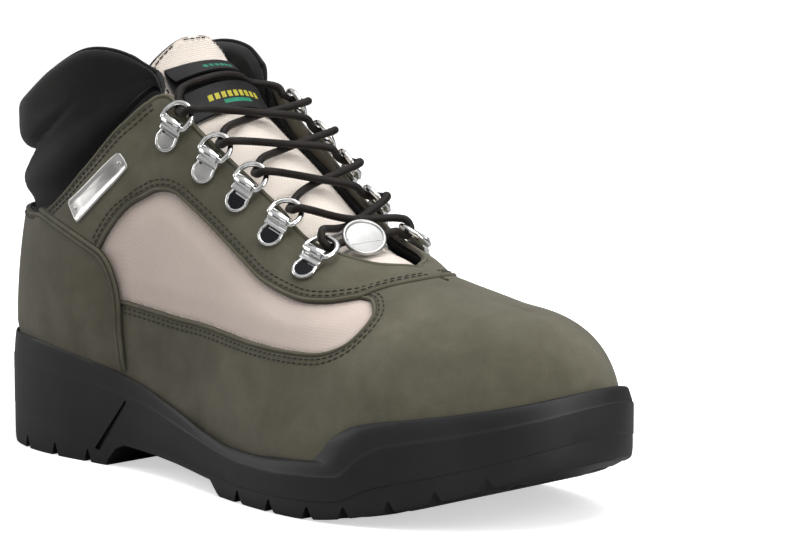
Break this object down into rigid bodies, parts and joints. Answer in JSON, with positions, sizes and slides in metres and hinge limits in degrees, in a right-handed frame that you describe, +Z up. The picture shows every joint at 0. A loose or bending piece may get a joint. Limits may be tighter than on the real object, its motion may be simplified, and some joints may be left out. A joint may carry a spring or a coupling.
{
  "type": "field boot",
  "caption": "Low lace-up field boot: cupped lug outsole, hollow leather upper with cloth side panels, padded collar, tongue, and lacing through plate-and-ring hooks.",
  "frame": {"origin": "middle of the boot's length and width, on the ground under the sole", "axes": "+Z up, +X towards the toe, +Y towards the inner side of the foot"},
  "size_m": [0.303, 0.1132, 0.169],
  "materials": {
    "sole_rubber": "satin moulded rubber",
    "footbed_cloth": "matt brushed cloth",
    "nubuck": "matt nubuck with light nap",
    "pad_cloth": "matt knitted cloth over foam",
    "facing_cloth": "fine diagonal weave",
    "webbing": "satin woven tape",
    "lace_cord": "waxed round braid",
    "bright_metal": "polished nickel"
  },
  "bodies": {
    "root": {"outsole": "sole_rubber", "insole": "footbed_cloth", "upper": "nubuck", "collar": "pad_cloth", "tongue": "facing_cloth", "tongue_label": "webbing", "lace_clip_lateral_1": "bright_metal", "lace_ring_lateral_1": "bright_metal", "lace_clip_medial_1": "bright_metal", "lace_ring_medial_1": "bright_metal", "lace_clip_lateral_2": "bright_metal", "lace_ring_lateral_2": "bright_metal", "lace_clip_medial_2": "bright_metal", "lace_ring_medial_2": "bright_metal", "lace_clip_lateral_3": "bright_metal", "lace_ring_lateral_3": "bright_metal", "lace_clip_medial_3": "bright_metal", "lace_ring_medial_3": "bright_metal", "lace_clip_lateral_4": "bright_metal", "lace_ring_lateral_4": "bright_metal", "lace_clip_medial_4": "bright_metal", "lace_ring_medial_4": "bright_metal", "lace_clip_lateral_5": "bright_metal", "lace_ring_lateral_5": "bright_metal", "lace_clip_medial_5": "bright_metal", "lace_ring_medial_5": "bright_metal", "lace_bar_low": "lace_cord", "lace_crossing_4": "lace_cord", "lace_crossing_3": "lace_cord", "lace_crossing_2": "lace_cord", "lace_crossing_1": "lace_cord", "lace_bar_top": "lace_cord", "lace_keeper": "bright_metal", "side_plate": "bright_metal"}
  },
  "joints": []
}
